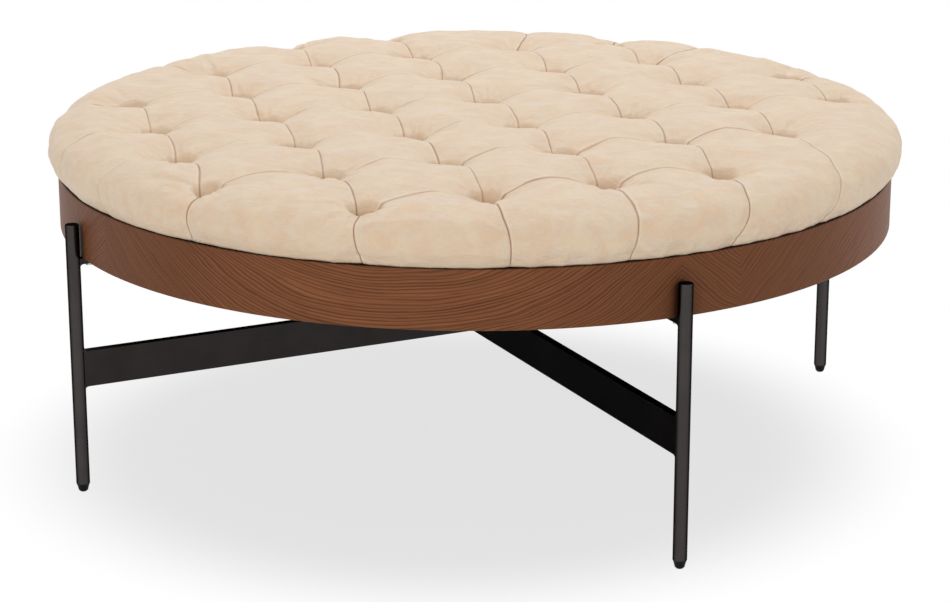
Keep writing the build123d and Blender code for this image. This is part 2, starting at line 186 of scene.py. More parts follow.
def makeGrainGroup():
    # growth lines that dip in the middle of a board by its bend, and stay level where the bend is zero
    form = grainForm
    tree, _, source, out = newGroup(
        "woodGrain",
        [("Place", "Vector"), ("Spacing", "Float"), ("Bend", "Float"), ("Pore", "Float")],
        [("Rings", "Float"), ("Fibres", "Float"), ("Pores", "Float")])
    spot = source.outputs["Place"]
    along, across, depth = addNode(tree, "SeparateXYZ", {0: spot}).outputs
    wander = noise(tree, stretched(tree, spot, form["wanderStretch"]), form["wanderScale"], 2.0)
    sway = maths(tree, "MULTIPLY", maths(tree, "SUBTRACT", wander, 0.5), form["sway"])
    dip = maths(tree, "MULTIPLY", maths(tree, "MULTIPLY", along, along), source.outputs["Bend"])
    level = maths(tree, "ADD", maths(tree, "SUBTRACT", across, dip), sway)
    rings = maths(tree, "DIVIDE", level, source.outputs["Spacing"])
    rows = addNode(tree, "CombineXYZ", {0: rings, 1: 0.0, 2: depth}).outputs[0]
    uneven = maths(tree, "MULTIPLY_ADD", noise(tree, rows, form["unevenScale"], 2.0), form["uneven"], rings)
    wave = maths(tree, "SINE", maths(tree, "MULTIPLY", uneven, 2 * math.pi))
    tree.links.new(ramp(tree, wave, *form["ringEnds"]), out.inputs["Rings"])
    lengthwise = addNode(tree, "CombineXYZ", {0: rings, 1: along, 2: depth}).outputs[0]
    fibre = noise(tree, stretched(tree, lengthwise, form["fibreStretch"]), 1.0, 5.0, 0.7)
    tree.links.new(ramp(tree, fibre, *form["fibreEnds"]), out.inputs["Fibres"])
    pores = noise(tree, stretched(tree, lengthwise, form["poreStretch"]), 1.0, 2.0)
    opened = maths(tree, "MULTIPLY", ramp(tree, pores, *form["poreEnds"]), source.outputs["Pore"])
    tree.links.new(opened, out.inputs["Pores"])
    return tree


smudgeForm = {"scale": 14.0, "ends": (0.35, 0.7)}


def makeBrushGroup():
    # fine lines by the stretch that is given, and broad smudges
    tree, place, source, out = newGroup(
        "brushed", [("Stretch", "Vector"), ("Scale", "Float")], [("Lines", "Float"), ("Smudges", "Float")])
    drawn = addNode(tree, "VectorMath", {0: place, 1: source.outputs["Stretch"]}, operation="MULTIPLY").outputs[0]
    tree.links.new(noise(tree, drawn, source.outputs["Scale"], 4.0, 0.65), out.inputs["Lines"])
    smudges = noise(tree, place, smudgeForm["scale"], 4.0, 0.6)
    tree.links.new(ramp(tree, smudges, *smudgeForm["ends"]), out.inputs["Smudges"])
    return tree


mottleGroup = makeMottleGroup()
pebbleGroup = makePebbleGroup()
grainGroup = makeGrainGroup()
brushGroup = makeBrushGroup()

# materials

leatherLook = {
    "cream": rgb(0.75, 0.605, 0.44), "warm": rgb(0.71, 0.525, 0.365), "ash": rgb(0.715, 0.605, 0.5),
    # painted shade for the crease lines, and a painted highlight for the lips beside them
    "creaseShadeTone": rgb(0.27, 0.085, 0.016), "rimHighlightTone": rgb(0.85, 0.75, 0.6),
    # painted shade in the tufts' hollows
    "hollowShadeTone": rgb(0.70, 0.50, 0.35),
    "patchScale": 24.0, "streakScale": 40.0, "pebbleScale": 480.0,
    "ashShare": 0.65, "hollowShadeShare": 0.45, "rimHighlightShare": 0.5, "creaseShadeShare": 0.95,
    "pebbleHeight": 0.00012, "streakHeight": 0.0006, "creaseHeight": 0.0007,
    "roughness": 0.45, "roughPatches": 0.1, "creaseWidth": 0.001, "edgeShift": 0.0028, "edgeWidth": 0.0014,
}


def bell(tree, offset, width):
    # one at the line itself, and nothing a few widths away
    share = maths(tree, "DIVIDE", offset, width)
    return maths(tree, "EXPONENT", maths(tree, "MULTIPLY", maths(tree, "MULTIPLY", share, share), -1.0))


def makeLeather(name, creased):
    # the cover's creases come from the offsets that its own mesh carries
    look = leatherLook
    made, tree, shader = newMaterial(name, Specular_IOR_Level=0.35, Sheen_Weight=0.05, Sheen_Roughness=0.5)
    mottle = useGroup(tree, mottleGroup, Scale=look["patchScale"], Streak=look["streakScale"]).outputs
    colour = mixColours(tree, mottle["Patches"], look["warm"], look["cream"])
    colour = mixColours(tree, maths(tree, "MULTIPLY", mottle["Streaks"], look["ashShare"]), colour, look["ash"])
    height = useGroup(tree, pebbleGroup, Scale=look["pebbleScale"]).outputs["Height"]
    height = maths(tree, "MULTIPLY", height, look["pebbleHeight"])
    height = maths(tree, "MULTIPLY_ADD", mottle["Streaks"], look["streakHeight"], height)
    if creased:
        offset, strength, depth = (addNode(tree, "Attribute", attribute_name=label).outputs["Fac"]
                                   for label in ("creaseOffset", "creaseStrength", "hollow"))
        # painted shade along each crease line, darkest on the line itself
        line = maths(tree, "MULTIPLY", bell(tree, offset, look["creaseWidth"]), strength)
        # painted highlight on the raised lip a little to one side of each crease; the same mask raises the lip in
        # the bump
        edge = maths(tree, "SUBTRACT", offset, look["edgeShift"])
        lipHighlight = maths(tree, "MULTIPLY", bell(tree, edge, look["edgeWidth"]), strength)
        # mixes in, one after another, the hollows' painted shade, the lips' painted highlight and the creases'
        # painted shade
        for mask, share, tone in ((depth, "hollowShadeShare", "hollowShadeTone"), (lipHighlight, "rimHighlightShare", "rimHighlightTone"),
                                  (line, "creaseShadeShare", "creaseShadeTone")):
            colour = mixColours(tree, maths(tree, "MULTIPLY", mask, look[share], clamp=True), colour, look[tone])
        lip = maths(tree, "MULTIPLY", lipHighlight, look["creaseHeight"])
        groove = maths(tree, "MULTIPLY", line, -look["creaseHeight"])
        height = maths(tree, "ADD", height, maths(tree, "ADD", lip, groove))
    tree.links.new(colour, shader.inputs["Base Color"])
    rough = maths(tree, "MULTIPLY_ADD", mottle["Patches"], look["roughPatches"], look["roughness"])
    tree.links.new(rough, shader.inputs["Roughness"])
    bump(tree, shader, height, 1.0)
    return made


woodLooks = {
    "ringWood": {"early": rgb(0.25, 0.094, 0.037), "late": rgb(0.09, 0.028, 0.01), "pore": rgb(0.055, 0.017, 0.007),
                 "roughness": 0.5, "coat": 0.03, "spacing": 0.0048, "bend": 1.05, "pores": 0.5,
                 "dull": 0.4, "dullEnds": (0.1, 0.36),
                 "shade": 0.03, "shadeEnds": (0.3, 0.9), "shadeTone": rgb(0.02, 0.007, 0.004)},
    "blockWood": {"early": rgb(0.56, 0.41, 0.25), "late": rgb(0.42, 0.28, 0.15), "pore": rgb(0.25, 0.15, 0.08),
                  "roughness": 0.62, "coat": 0.0, "spacing": 0.005, "bend": 0.2, "pores": 0.5},
    "beech": {"early": rgb(0.68, 0.47, 0.29), "late": rgb(0.56, 0.36, 0.2), "pore": rgb(0.36, 0.2, 0.1),
              "roughness": 0.55, "coat": 0.0, "spacing": 0.004, "bend": 0.0, "pores": 0.4},
    "plywood": {"early": rgb(0.6, 0.44, 0.27), "late": rgb(0.47, 0.31, 0.17), "pore": rgb(0.3, 0.18, 0.1),
                "roughness": 0.66, "coat": 0.0, "spacing": 0.016, "bend": 0.25, "pores": 0.4},
}
woodForm = {"fibreShare": 0.5, "ringShare": 0.5, "poreRough": 0.2, "poreDepth": 0.6, "height": 0.00018}
# where the ring's joints lie, and where each segment's figure turns back, as a share of it from its middle
ringFigure = {"turn": 81.3, "end": 0.403, "lift": 0.02, "liftStep": 5.0}


def ringPlace(tree):
    # along and up each bent segment, measured from its own middle, and which way its growth lines dip
    end = ringFigure["end"]
    place = addNode(tree, "TexCoord").outputs["Object"]
    turned = addNode(tree, "VectorRotate", {"Vector": place, "Angle": math.radians(ringFigure["turn"])},
                     rotation_type="Z_AXIS")
    parts = addNode(tree, "SeparateXYZ", {0: turned.outputs[0]})
    angle = maths(tree, "ARCTAN2", parts.outputs[1], parts.outputs[0])
    share = maths(tree, "DIVIDE", angle, math.pi / 2)
    segment = maths(tree, "FLOOR", share)
    middle = maths(tree, "SUBTRACT", maths(tree, "SUBTRACT", share, segment), 0.5)
    folded = maths(tree, "ABSOLUTE", maths(tree, "SUBTRACT", middle, end))
    along = maths(tree, "MULTIPLY", maths(tree, "SUBTRACT", end, folded), math.pi / 2 * ringHigh[0])
    phase = maths(tree, "SINE", maths(tree, "MULTIPLY", segment, ringFigure["liftStep"]))
    lift = maths(tree, "MULTIPLY", phase, ringFigure["lift"])
    level = maths(tree, "ADD", parts.outputs[2], lift)
    odd = maths(tree, "MODULO", maths(tree, "ABSOLUTE", segment), 2.0)
    dips = maths(tree, "MULTIPLY_ADD", odd, 2.0, -1.0)
    return addNode(tree, "CombineXYZ", {0: along, 1: level, 2: segment}).outputs[0], dips


def makeWood(name, look, place=None):
    made, tree, shader = newMaterial(name, Coat_Weight=look["coat"], Coat_Roughness=0.2, Specular_IOR_Level=0.12)
    spot, sign = place(tree) if place else (addNode(tree, "TexCoord").outputs["Object"], 1.0)
    grain = useGroup(tree, grainGroup, Place=spot, Spacing=look["spacing"],
                     Bend=maths(tree, "MULTIPLY", sign, look["bend"]), Pore=look["pores"]).outputs
    rings = maths(tree, "MULTIPLY", grain["Rings"], woodForm["ringShare"])
    lines = maths(tree, "MULTIPLY_ADD", grain["Fibres"], woodForm["fibreShare"], rings)
    colour = mixColours(tree, lines, look["late"], look["early"])
    colour = mixColours(tree, grain["Pores"], colour, look["pore"])
    if place:
        # duller where the growth lines run steeply, and painted shade close to the legs and the leather, by how
        # enclosed each spot is
        away = maths(tree, "ABSOLUTE", addNode(tree, "SeparateXYZ", {0: spot}).outputs[0])
        dull = maths(tree, "MULTIPLY", ramp(tree, away, *look["dullEnds"]), look["dull"])
        colour = mixColours(tree, dull, colour, look["late"])
        # painted shade where the legs and the leather close over the wood
        near = addNode(tree, "AmbientOcclusion", {"Distance": look["shade"]}, samples=8).outputs["AO"]
        colour = mixColours(tree, ramp(tree, near, *look["shadeEnds"]), look["shadeTone"], colour)
    tree.links.new(colour, shader.inputs["Base Color"])
    rough = maths(tree, "MULTIPLY_ADD", grain["Pores"], woodForm["poreRough"], look["roughness"])
    tree.links.new(rough, shader.inputs["Roughness"])
    height = maths(tree, "MULTIPLY_ADD", grain["Pores"], -woodForm["poreDepth"], lines)
    bump(tree, shader, height, woodForm["height"])
    return made


metalLooks = {
    # each look's third tone is painted shade where the surface turns away from the eye
    "bronzeTube": {"base": rgb(0.042, 0.0365, 0.0352), "worn": rgb(0.076, 0.067, 0.065),
                   "turned": rgb(0.004, 0.0034, 0.0032), "edgeShadeEnds": (0.1, 0.72), "coat": 0.08,
                   "roughness": 0.3, "stretch": (1.0, 1.0, 0.03), "scale": 900.0, "edge": 0.0007},
    "bronzeBar": {"base": rgb(0.022, 0.0192, 0.0185), "worn": rgb(0.042, 0.037, 0.0358),
                  "turned": rgb(0.004, 0.0035, 0.0034), "edgeShadeEnds": (0.55, 0.9), "coat": 0.04,
                  "roughness": 0.36, "stretch": (0.03, 0.03, 1.0), "scale": 900.0, "edge": 0.0007},
    "zincPlate": {"base": rgb(0.58, 0.58, 0.56), "worn": rgb(0.7, 0.69, 0.64),
                  "turned": rgb(0.4, 0.4, 0.38), "edgeShadeEnds": (0.6, 1.0), "coat": 0.0,
                  "roughness": 0.34, "stretch": (1.0, 1.0, 1.0), "scale": 400.0, "edge": 0.0002},
}


metalForm = {"lineShare": 0.5, "smudgeShare": 0.35, "roughSpan": 0.1, "height": 0.00005}


def makeMetal(name, look):
    # worn by brush lines and smudges, with painted shade where the surface turns away from the eye, whose dark tone
    # also darkens the reflection at the edges
    made, tree, shader = newMaterial(name, Metallic=1.0, Coat_Weight=look["coat"], Coat_Roughness=0.14,
                                     Specular_Tint=look["turned"])
    brush = useGroup(tree, brushGroup, Stretch=look["stretch"], Scale=look["scale"]).outputs
    smudges = maths(tree, "MULTIPLY", brush["Smudges"], metalForm["smudgeShare"])
    tone = maths(tree, "MULTIPLY_ADD", brush["Lines"], metalForm["lineShare"], smudges)
    # painted shade towards the edges that turn away from the eye
    facing = addNode(tree, "LayerWeight", {"Blend": 0.5}).outputs["Facing"]
    turn = ramp(tree, facing, *look["edgeShadeEnds"])
    colour = mixColours(tree, turn, mixColours(tree, tone, look["base"], look["worn"]), look["turned"])
    tree.links.new(colour, shader.inputs["Base Color"])
    span = metalForm["roughSpan"]
    rough = maths(tree, "MULTIPLY_ADD", brush["Smudges"], span, look["roughness"] - span / 2)
    tree.links.new(rough, shader.inputs["Roughness"])
    bump(tree, shader, brush["Lines"], metalForm["height"], look["edge"])
    return made


plainLooks = {
    "blackNylon": {"base": rgb(0.003, 0.003, 0.003), "other": rgb(0.006, 0.006, 0.006), "roughness": 0.5,
                   "gloss": 0.1, "scale": 300.0, "depth": 0.00008, "stretch": (1.0, 1.0, 1.0)},
    "dustCloth": {"base": rgb(0.02, 0.02, 0.021), "other": rgb(0.05, 0.05, 0.052), "roughness": 0.9,
                  "gloss": 0.5, "scale": 420.0, "depth": 0.0002, "stretch": (1.0, 0.35, 1.0)},
    "fibreFill": {"base": rgb(0.86, 0.86, 0.84), "other": rgb(0.95, 0.95, 0.93), "roughness": 0.95,
                  "gloss": 0.5, "scale": 160.0, "depth": 0.0012, "stretch": (1.0, 0.3, 1.0)},
    "seatFoam": {"base": rgb(0.82, 0.74, 0.5), "other": rgb(0.9, 0.84, 0.64), "roughness": 0.9,
                 "gloss": 0.5, "scale": 500.0, "depth": 0.0006, "stretch": (1.0, 1.0, 1.0)},
    "waxedTwine": {"base": rgb(0.6, 0.5, 0.34), "other": rgb(0.76, 0.68, 0.5), "roughness": 0.7,
                   "gloss": 0.5, "scale": 900.0, "depth": 0.0002, "stretch": (1.0, 1.0, 0.5)},
}


def makePlain(name, look):
    made, tree, shader = newMaterial(name, Roughness=look["roughness"], Specular_IOR_Level=look["gloss"])
    brush = useGroup(tree, brushGroup, Stretch=look["stretch"], Scale=look["scale"]).outputs
    colour = mixColours(tree, brush["Lines"], look["base"], look["other"])
    tree.links.new(colour, shader.inputs["Base Color"])
    bump(tree, shader, brush["Lines"], look["depth"])
    return made


creamLeather = makeLeather("creamLeather", True)
buttonLeather = makeLeather("buttonLeather", False)
ringWood = makeWood("ringWood", woodLooks["ringWood"], ringPlace)
blockWood, beech, plywood = (makeWood(name, woodLooks[name]) for name in ("blockWood", "beech", "plywood"))
bronzeTube, bronzeBar, zincPlate = (makeMetal(name, look) for name, look in metalLooks.items())
blackNylon, dustCloth, fibreFill, seatFoam, waxedTwine = (
    makePlain(name, look) for name, look in plainLooks.items())
print("materials made")

# the cushion's plain form: crown, rim, girth and tuck, as a line from its top to its tuck

cushionForm = {
    "crownDrop": 0.014, "crownInset": 0.075, "rimInset": 0.104, "rimDrop": 0.008, "rimCurve": 0.2,
    "rimReach": 0.6, "rimKeep": 0.98, "girthRise": 0.031, "tuckInset": 0.017, "blend": 0.018,
    "topSteps": 400, "girthSteps": 60, "tuckSteps": 50, "fineSteps": 2400,
}


def crownBall():
    # the radius of the ball that the crown is a cap of
    form = cushionForm
    return ((coverHigh[0] - form["crownInset"]) ** 2 + form["crownDrop"] ** 2) / (2 * form["crownDrop"])


def cushionLine(spacing):
    # evenly spaced places along the line, with its radius, its height and the two parts of its normal
    form = cushionForm
    radius, top = coverHigh[0], coverHigh[2]
    ball = crownBall()
    run, girth = form["rimInset"], ringTop + form["girthRise"]
    fall = top - form["rimDrop"] - girth
    curve = form["rimCurve"]
    step = ((curve - fall) ** 2 + (curve - run) ** 2) / (2 * (curve - run))
    turn, girthCurve = math.acos((curve - fall) / step), curve - step
    tuckCurve = (form["tuckInset"] ** 2 + form["girthRise"] ** 2) / (2 * form["tuckInset"])
    rimStart = radius - run
    reach = np.linspace(0, rimStart + run * form["rimReach"], form["topSteps"])
    crown = top - ball + np.sqrt(ball ** 2 - reach ** 2)
    rim = girth + fall - curve + np.sqrt(curve ** 2 - np.clip(reach - rimStart, 0, None) ** 2)
    height = np.minimum(crown, rim)
    keep = reach < rimStart + curve * math.sin(turn) * form["rimKeep"]
    angles = np.linspace(turn, math.pi / 2, form["girthSteps"])
    girthR = radius - girthCurve + girthCurve * np.sin(angles)
    girthZ = girth + girthCurve * np.cos(angles)
    end = math.asin(form["girthRise"] / tuckCurve)
    down = np.linspace(0, end, form["tuckSteps"])[1:]
    tuckR = radius - tuckCurve + tuckCurve * np.cos(down)
    tuckZ = girth - tuckCurve * np.sin(down)
    lineR = np.concatenate([reach[keep], girthR, tuckR])
    lineZ = np.concatenate([height[keep], girthZ, tuckZ])
    length = np.concatenate([[0], np.cumsum(np.hypot(np.diff(lineR), np.diff(lineZ)))])
    fine = np.linspace(0, length[-1], form["fineSteps"])
    fineR, fineZ = np.interp(fine, length, lineR), np.interp(fine, length, lineZ)
    width = int(form["blend"] / fine[1])
    weights = np.hanning(2 * width + 3)
    weights /= weights.sum()
    smoothR, smoothZ = (
        np.convolve(np.pad(values, width + 1, mode="reflect", reflect_type="odd"), weights, "valid")
        for values in (fineR, fineZ))
    smoothR -= smoothR[0]
    count = int(length[-1] / spacing)
    along = np.linspace(0, length[-1], count + 1)
    lineR, lineZ = np.interp(along, fine, smoothR), np.interp(along, fine, smoothZ)
    slopeR, slopeZ = np.gradient(lineR), np.gradient(lineZ)
    size = np.hypot(slopeR, slopeZ)
    return along, lineR, lineZ, -slopeZ / size, slopeR / size


# tufts, and the folds between them

tuftGrid = {"pitch": 0.1643, "rowAngle": -5.2, "columnAngle": -97.5, "first": (0.0367, 0.0444), "reach": 0.556}
# each tuft's pit and the slope round it, shallower at the tufts near the rim
tuftShape = {
    "seat": 0.0128, "depth": 0.04, "pit": 0.027, "slopeDepth": 0.0235, "slopeReach": 0.081, "slopePower": 1.6,
    "outerFrom": 0.5, "outerShare": 0.62,
}
# a row's folds face the front, a column's folds run away from it, and a rim's fold goes over the edge
foldKinds = {
    "row": {"depth": 0.0026, "reach": 0.034, "bow": 0.008, "aside": 0.0, "fade": 0.8, "lip": 0.0017,
            "lipWidth": 0.0028, "turn": 0.7, "shift": 0.0005, "crisp": (0.6, 1.0)},
    "column": {"depth": 0.004, "reach": 0.034, "bow": 0.009, "aside": -0.007, "fade": 0.35, "lip": -0.0006,
               "lipWidth": 0.0045, "turn": -1.0, "shift": 0.0, "crisp": (0.7, 1.0)},
    "rim": {"depth": 0.0045, "reach": 0.045, "bow": 0.004, "aside": 0.0, "fade": 0.1, "lip": 0.0006,
            "lipWidth": 0.0045, "turn": 1.0, "shift": 0.0, "crisp": (0.75, 1.0)},
}
# rows are crisp in front of frontEdge, and soft valleys behind it
foldShape = {
    "power": 1.7, "start": 0.02, "pullDepth": 0.003, "pullReach": 0.02, "notchDepth": 0.0009,
    "notchWidth": 0.0045, "lipReach": 0.009, "fadePower": 1.5, "frontEdge": -0.12, "frontRun": 0.2,
    "backShare": 0.35, "lineReach": 0.012, "lineFade": 0.004, "lineStart": 0.008, "lineRise": 0.006,
}
# where the outer tufts' folds end round the rim, in degrees, by the tuft's own direction, how far some of them
# bow aside, and which of them are softer
rimEnds = {169: 176, 205: 207, 229: 230.4, 246: 248.2, 266: 263.2, 286: 277.5, 316: 294, 342: 331}
rimBows = {169: -0.016, 342: 0.012}
softRims = {189: 0.25, 286: 0.85, 316: 0.5}


def gridPoint(i, j):
    row, column = math.radians(tuftGrid["rowAngle"]), math.radians(tuftGrid["columnAngle"])
    x = tuftGrid["first"][0] + tuftGrid["pitch"] * (i * math.cos(row) + j * math.cos(column))
    y = tuftGrid["first"][1] + tuftGrid["pitch"] * (i * math.sin(row) + j * math.sin(column))
    return x, y


tufts = {(i, j): gridPoint(i, j) for i in range(-5, 6) for j in range(-5, 6)
         if math.hypot(*gridPoint(i, j)) < tuftGrid["reach"]}
print("tufts:", len(tufts))


def makeFolds(edgeReach):
    # folds between neighbouring tufts, and one from each outer tuft over the rim
    folds = []
    for (i, j), start in tufts.items():
        for step, name in (((1, 0), "row"), ((0, 1), "column")):
            end = tufts.get((i + step[0], j + step[1]))
            if not end:
                continue
            kind = foldKinds[name]
            front = (foldShape["frontEdge"] - (start[1] + end[1]) / 2) / foldShape["frontRun"]
            share = float(np.clip(front, foldShape["backShare"], 1.0)) if name == "row" else 1.0
            folds.append(dict(
                kind, start=start, end=end, open=False, depth=kind["depth"] * rng.uniform(0.7, 1.3),
                crisp=rng.uniform(*kind["crisp"]) * share, bow=kind["bow"] * rng.uniform(0.5, 1.2)))
    kind = foldKinds["rim"]
    for (i, j), start in tufts.items():
        if all(near in tufts for near in ((i + 1, j), (i - 1, j), (i, j + 1), (i, j - 1))):
            continue
        azimuth = math.degrees(math.atan2(start[1], start[0])) % 360
        last = math.radians(rimEnds.get(round(azimuth), azimuth))
        crisp = softRims.get(round(azimuth), rng.uniform(*kind["crisp"]))
        folds.append(dict(
            kind, start=start, end=(edgeReach * math.cos(last), edgeReach * math.sin(last)), open=True,
            depth=kind["depth"] * (0.5 + 0.5 * crisp), crisp=crisp,
            bow=rimBows.get(round(azimuth), kind["bow"] * rng.uniform(-1.0, 1.0))))
    return folds


def waves(u, v, size, count, seed):
    # a smooth random field of about unit height
    pick = np.random.default_rng(seed)
    total = 0.0
    for _ in range(count):
        angle, phase = pick.uniform(0, 2 * math.pi, 2)
        step = 2 * math.pi / (size * pick.uniform(0.6, 1.5))
        total = total + np.sin(step * (u * math.cos(angle) + v * math.sin(angle)) + phase)
    return total / math.sqrt(count)


def pressFolds(u, v, folds):
    # the folds' depth, notches and lips at each place, its offset from the nearest crease and that one's strength
    shape = foldShape
    total, notch, lip, strength = (np.zeros_like(u) for _ in range(4))
    nearest, offset = (np.full_like(u, 0.1) for _ in range(2))
    for fold in folds:
        sx, sy = fold["start"]
        run = np.array(fold["end"]) - (sx, sy)
        size = float(np.hypot(*run))
        tx, ty = run / size
        along = (u - sx) * tx + (v - sy) * ty
        share = np.clip(along / size, 0, 1)
        side = (u - sx) * -ty + (v - sy) * tx - fold["bow"] * 4 * share * (1 - share) - fold["aside"] * share
        over = np.abs(along - share * size)
        away = np.hypot(side, over)
        left = along if fold["open"] else size - along
        faded = fold["crisp"] * (1 - fold["fade"] * share ** shape["fadePower"])

        pick = away < fold["reach"]
        stop = 1.0 if fold["open"] else np.clip(left / shape["start"], 0, 1)
        ends = np.clip(np.clip(along / shape["start"], 0, 1) * stop, 0, 1)[pick]
        ends = ends * ends * (3 - 2 * ends)
        toTuft = np.clip(np.minimum(along, left) - tuftShape["seat"], 0, None)
        pull = shape["pullDepth"] * np.exp(-toTuft[pick] / shape["pullReach"])
        total[pick] += ((fold["depth"] + pull) * ends * (1 - away[pick] / fold["reach"]) ** shape["power"]) ** 2
        thin = np.exp(-(away[pick] / shape["notchWidth"]) ** 2)
        notch[pick] = np.maximum(notch[pick], shape["notchDepth"] * (faded[pick] * ends) * thin)
        slope = np.tanh(side[pick] / fold["lipWidth"]) * np.exp(-np.abs(side[pick]) / shape["lipReach"])
        lip[pick] += fold["lip"] * (faded[pick] * ends) * slope

        # beyond its ends a fold has no crease, apart from rounding in the ninth digit
        line = fold["turn"] * side + fold["shift"]
        close = pick & (np.abs(line) < nearest) & (over < 1e-9) & (np.abs(side) < shape["lineReach"])
        nearest[close] = np.abs(line[close])
        offset[close] = line[close]
        startIn = np.clip((along[close] - shape["lineStart"]) / shape["lineRise"], 0, 1)
        stopIn = 1.0 if fold["open"] else np.clip((left[close] - shape["lineStart"]) / shape["lineRise"], 0, 1)
        beside = np.clip((shape["lineReach"] - np.abs(side[close])) / shape["lineFade"], 0, 1)
        strength[close] = faded[close] * startIn * stopIn * beside
    return total, notch, lip, offset, strength


def pressTufts(u, v, spread):
    # a broad slope down to each tuft, and the narrow pit that its button closes
    shape = tuftShape
    total = np.zeros_like(u)
    seatDepth = shape["slopeDepth"] * (1 - shape["seat"] / shape["slopeReach"]) ** shape["slopePower"]
    for x, y in tufts.values():
        away = np.hypot(u - x, v - y)
        part = shape["outerShare"] if math.hypot(x, y) > shape["outerFrom"] else 1.0
        pick = away < shape["slopeReach"]
        total[pick] += part * shape["slopeDepth"] * (1 - away[pick] / shape["slopeReach"]) ** shape["slopePower"]
        pick = away < shape["pit"] + spread
        share = np.clip((away[pick] - shape["seat"] - spread) / (shape["pit"] - shape["seat"]), 0, 1)
        total[pick] += (shape["depth"] - part * seatDepth) * (1 - share) ** 2
    return total


# the last few gathers of each outer tuft point outwards, and are longer, wider and deeper
wrinkleForm = {
    "count": 11, "outerFrom": 0.4, "outerMore": 5, "outward": 7, "spread": 1.3, "seed": 5,
    "size": (0.025, 0.055), "longSize": (0.05, 0.1), "width": 0.0055, "longWidth": 1.9,
    "depth": 0.0042, "longDepth": 1.4, "start": (0.014, 0.022), "lean": 0.12, "limit": 0.0036,
}


def pressWrinkles(u, v):
    # short gathers that fan out from each tuft, longer ones on the sides of the cushion
    form = wrinkleForm
    total = np.zeros_like(u)
    pick = np.random.default_rng(form["seed"])
    for x, y in tufts.values():
        outer = math.hypot(x, y) > form["outerFrom"]
        number = form["count"] + (form["outerMore"] if outer else 0)
        for count in range(number):
            long = outer and count >= number - form["outward"]
            spread = form["spread"]
            angle = math.atan2(y, x) + pick.uniform(-spread, spread) if long else pick.uniform(0, 2 * math.pi)
            size = pick.uniform(*form["longSize" if long else "size"])
            width = form["width"] * (form["longWidth"] if long else 1.0)
            depth = form["depth"] * pick.uniform(0.4, 1.0) * (form["longDepth"] if long else 1.0)
            start, lean = pick.uniform(*form["start"]), pick.uniform(-form["lean"], form["lean"])
            tx, ty = math.cos(angle), math.sin(angle)
            along, side = (u - x) * tx + (v - y) * ty - start, (u - x) * -ty + (v - y) * tx
            side = side - lean * along
            near = (along > 0) & (along < size) & (np.abs(side) < width)
            share = along[near] / size
            across = np.cos(side[near] / width * math.pi / 2) ** 2
            total[near] += depth * across * np.sin(math.pi * share) * (1 - share)
    return form["limit"] * np.tanh(total / form["limit"])


def skinMesh(name, points, tip):
    # a closed fan at the tip, then rings of quads
    rings, count = points.shape[:2]
    mesh = bpy.data.meshes.new(name)
    coords = np.vstack([[tip], points.reshape(-1, 3)])
    mesh.vertices.add(len(coords))
    mesh.vertices.foreach_set("co", coords.astype(np.float32).ravel())
    index = 1 + np.arange(rings * count).reshape(rings, count)
    following = np.roll(index, -1, axis=1)
    fan = np.stack([np.zeros(count, int), index[0], following[0]], axis=1)
    quads = np.stack([index[:-1], index[1:], following[1:], following[:-1]], axis=2).reshape(-1, 4)
    loops = np.concatenate([fan.ravel(), quads.ravel()])
    totals = np.concatenate([np.full(count, 3), np.full(len(quads), 4)])
    mesh.loops.add(len(loops))
    mesh.loops.foreach_set("vertex_index", loops.astype(np.int32))
    mesh.polygons.add(len(totals))
    mesh.polygons.foreach_set("loop_start", (np.cumsum(totals) - totals).astype(np.int32))
    mesh.polygons.foreach_set("use_smooth", np.ones(len(totals), bool))
    mesh.update(calc_edges=True)
    mesh.validate()
    piece = bpy.data.objects.new(name, mesh)
    bpy.context.scene.collection.objects.link(piece)
    return piece


def setAttribute(piece, name, values):
    data = piece.data.attributes.new(name, "FLOAT", "POINT")
    data.data.foreach_set("value", np.asarray(values, np.float32).ravel())


# sizes of the small forms: how the lines wander, the lumps between the tufts and the gathers at the lower edge
skinForm = {
    "wander": 0.0026, "wanderSize": 0.11, "lump": 0.0015, "lumpSize": 0.09, "lumpDepth": 0.03,
    "gather": 0.0022, "gatherSize": 0.05, "gatherTurn": 0.6, "gatherRun": 0.2, "edgeStart": 0.06, "edgeRun": 0.04,
    "floorRoom": 0.002, "floorRun": 0.01, "fillRoom": 0.002, "seatRun": 0.012, "seatShare": 0.35,
    "hollowFrom": 0.01, "hollowRun": 0.03,
}


